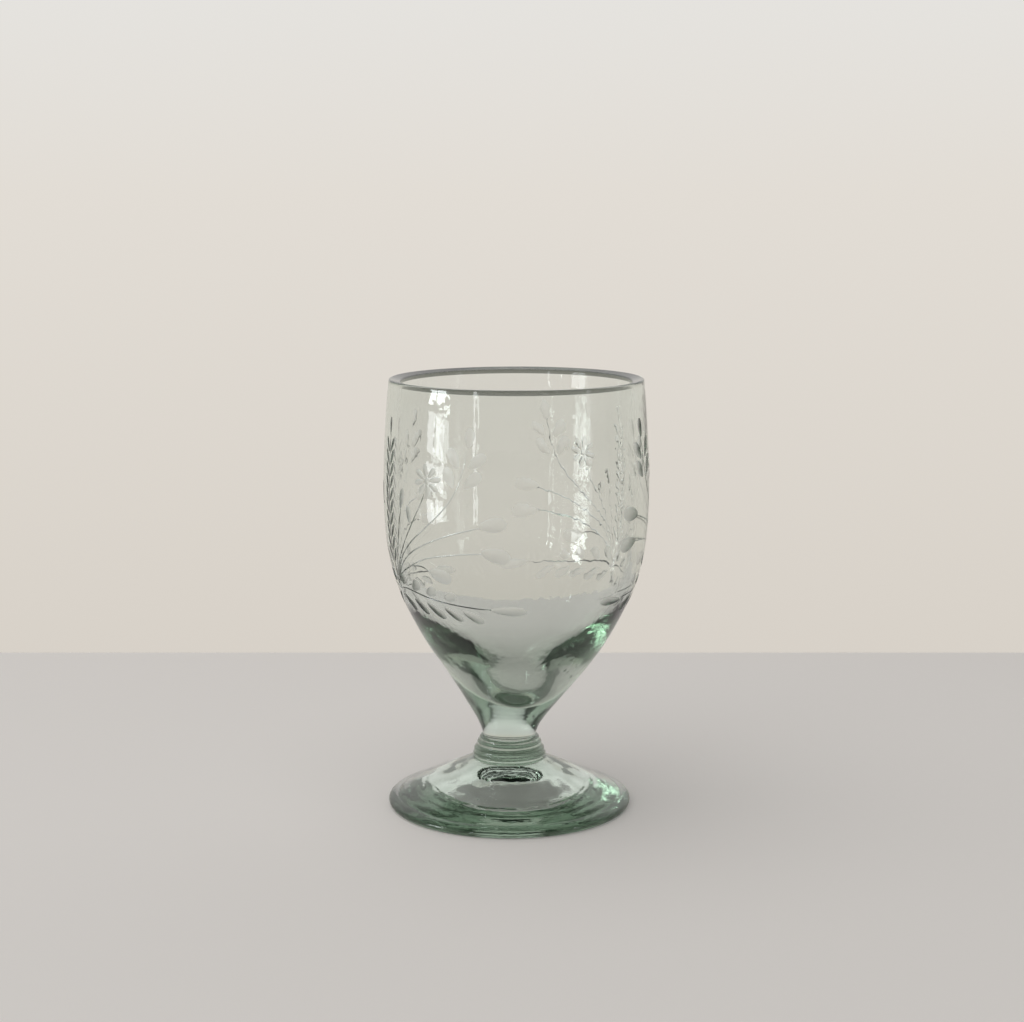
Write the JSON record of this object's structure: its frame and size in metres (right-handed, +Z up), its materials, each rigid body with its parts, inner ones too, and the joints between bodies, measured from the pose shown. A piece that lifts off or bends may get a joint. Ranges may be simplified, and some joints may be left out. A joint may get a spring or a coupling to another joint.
{
  "type": "wine glass",
  "caption": "Short-stemmed goblet in thick green-tinted blown glass, with a deep bowl, a squat knop and a conical foot.",
  "frame": {"origin": "on the table, on the axis of the bowl, at the level of the foot's rest ring", "axes": "+Z up along the axis of the bowl; the foot's axis lies 2.1 mm to -X, because the tail leans"},
  "size_m": [0.0792, 0.0792, 0.13],
  "materials": {
    "green_glass": "fire-polished clear glass with a pale grey-green tint"
  },
  "bodies": {
    "root": {"bowl": "green_glass", "knop": "green_glass", "foot": "green_glass"}
  },
  "joints": []
}
